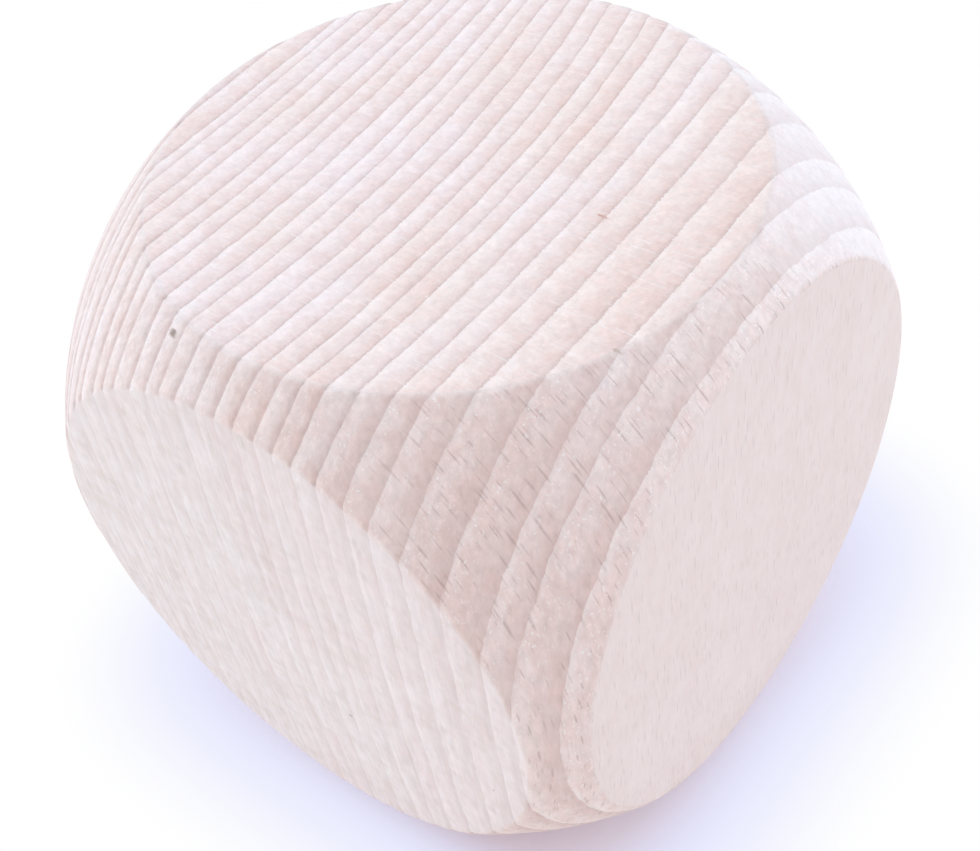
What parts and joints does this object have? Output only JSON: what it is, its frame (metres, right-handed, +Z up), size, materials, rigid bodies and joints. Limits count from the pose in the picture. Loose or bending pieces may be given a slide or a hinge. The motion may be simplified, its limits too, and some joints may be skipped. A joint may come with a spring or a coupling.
{
  "type": "wooden cube",
  "caption": "Solid wooden cube with edges and corners turned to a ball, leaving a round flat on each side; a plain block or blank die for craft, play or marking.",
  "frame": {"origin": "middle of the flat that the block stands on", "axes": "+Z up along the grain, X across the growth rings with the bark side at +X, Y along the rings"},
  "size_m": [0.06, 0.06, 0.06],
  "materials": {
    "beech": "raw, fine sanded"
  },
  "bodies": {
    "root": {"wooden_cube": "beech"}
  },
  "joints": []
}
